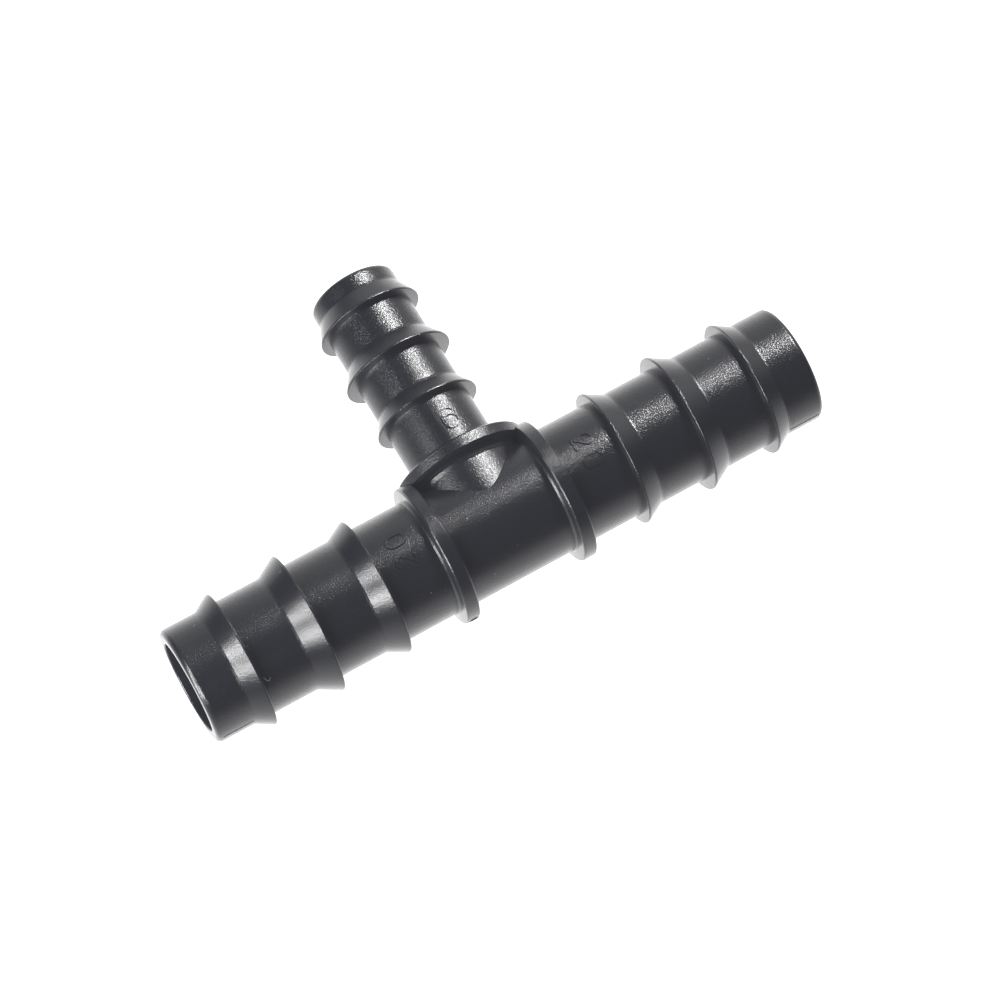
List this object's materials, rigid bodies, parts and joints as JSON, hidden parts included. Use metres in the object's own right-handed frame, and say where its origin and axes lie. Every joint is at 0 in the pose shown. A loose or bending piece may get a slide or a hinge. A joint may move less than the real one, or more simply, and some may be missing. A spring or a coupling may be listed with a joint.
{
  "type": "barbed tee connector",
  "caption": "Reducing barbed tee for soft irrigation pipe: a straight run with a barbed spigot at each end and a smaller barbed branch at right angles, each behind a round stop collar.",
  "frame": {"origin": "where the axis of the run and the axis of the branch cross, in the middle of the run's bore", "axes": "+X along the run towards the right spigot's mouth, +Y along the branch towards its mouth, +Z square to both, towards the side with the raised size numerals"},
  "size_m": [0.096, 0.0509, 0.0208],
  "materials": {
    "moulded_plastic": "charcoal black moulded polyolefin with a fine satin spark-eroded grain"
  },
  "bodies": {
    "root": {"branch_barb_1": "moulded_plastic", "branch_barb_2": "moulded_plastic", "branch_collar": "moulded_plastic", "branch_mark_1": "moulded_plastic", "branch_mark_6": "moulded_plastic", "branch_neck": "moulded_plastic", "branch_spigot": "moulded_plastic", "branch_tip": "moulded_plastic", "left_barb_1": "moulded_plastic", "left_barb_2": "moulded_plastic", "left_collar": "moulded_plastic", "left_mark_0": "moulded_plastic", "left_mark_2": "moulded_plastic", "left_spigot": "moulded_plastic", "left_tip": "moulded_plastic", "right_barb_1": "moulded_plastic", "right_barb_2": "moulded_plastic", "right_collar": "moulded_plastic", "right_mark_0": "moulded_plastic", "right_mark_2": "moulded_plastic", "right_spigot": "moulded_plastic", "right_tip": "moulded_plastic", "run_barrel": "moulded_plastic"}
  },
  "joints": []
}
